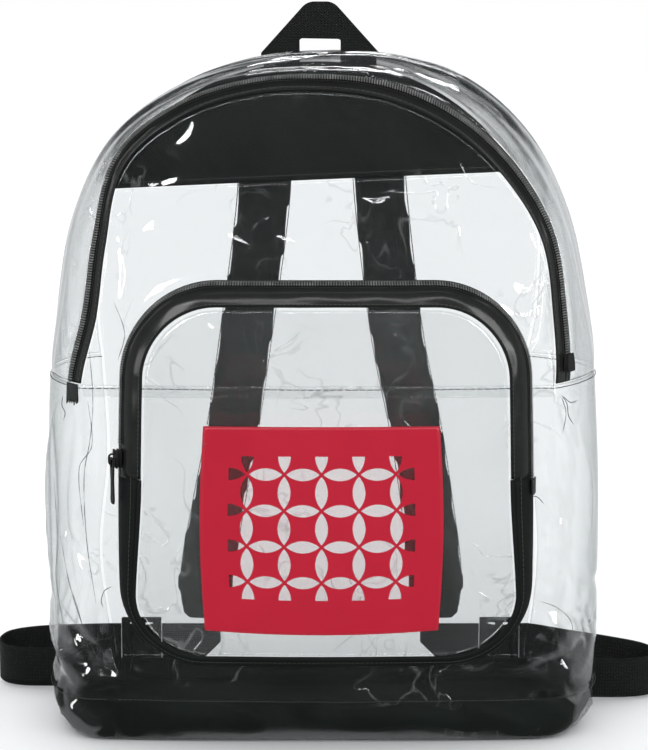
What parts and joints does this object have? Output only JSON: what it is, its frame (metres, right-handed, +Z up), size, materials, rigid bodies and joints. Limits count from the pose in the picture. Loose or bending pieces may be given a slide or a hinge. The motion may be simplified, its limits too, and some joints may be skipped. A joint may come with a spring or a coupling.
{
  "type": "clear backpack",
  "caption": "Clear vinyl zipped backpack with black zip, piping, base and straps, a zipped front pocket with a red pattern panel, a haul handle and open webbing loops at the base",
  "frame": {"origin": "middle of the footprint, on the floor", "axes": "+Z up, front with the pocket towards -Y, back with the straps towards +Y"},
  "size_m": [0.4204, 0.197, 0.435],
  "materials": {
    "clear_vinyl": "clear, glossy, creased",
    "black_fabric": "woven polyester",
    "black_tape": "ribbed webbing and zip tape",
    "black_plastic": "satin",
    "red_print": "printed vinyl"
  },
  "bodies": {
    "bag": {"front_upper_panel": "clear_vinyl", "lower_panel": "clear_vinyl", "top_gusset": "clear_vinyl", "back_panel": "clear_vinyl", "back_yoke": "black_fabric", "base_tray": "black_fabric", "main_zip_tape_front": "black_tape", "main_zip_tape_gusset": "black_tape", "main_zip_coil": "black_plastic", "main_zip_slider": "black_plastic", "main_zip_tail": "black_tape", "pocket_face": "clear_vinyl", "pocket_print": "red_print", "pocket_zip_tape_bag": "black_tape", "pocket_zip_tape_face": "black_tape", "pocket_zip_coil": "black_plastic", "pocket_gusset": "black_fabric", "pocket_piping": "black_tape", "pocket_zip_tail": "black_tape", "pocket_slider": "black_plastic", "haul_handle": "black_tape", "shoulder_strap_left": "black_fabric", "strap_tab_left": "black_tape", "ladder_lock_left": "black_plastic", "strap_webbing_left": "black_tape", "shoulder_strap_right": "black_fabric", "strap_tab_right": "black_tape", "ladder_lock_right": "black_plastic", "strap_webbing_right": "black_tape"},
    "pocket_pull": {"pocket_pull": "black_plastic"}
  },
  "joints": [
    {"name": "pocket_pull_hinge", "type": "hinge", "parent": "bag", "child": "pocket_pull", "pos_m": [-0.12137, -0.0814, 0.1725], "axis": [-0.3787, 0.9255, 0], "range_deg": [0, 170]}
  ]
}
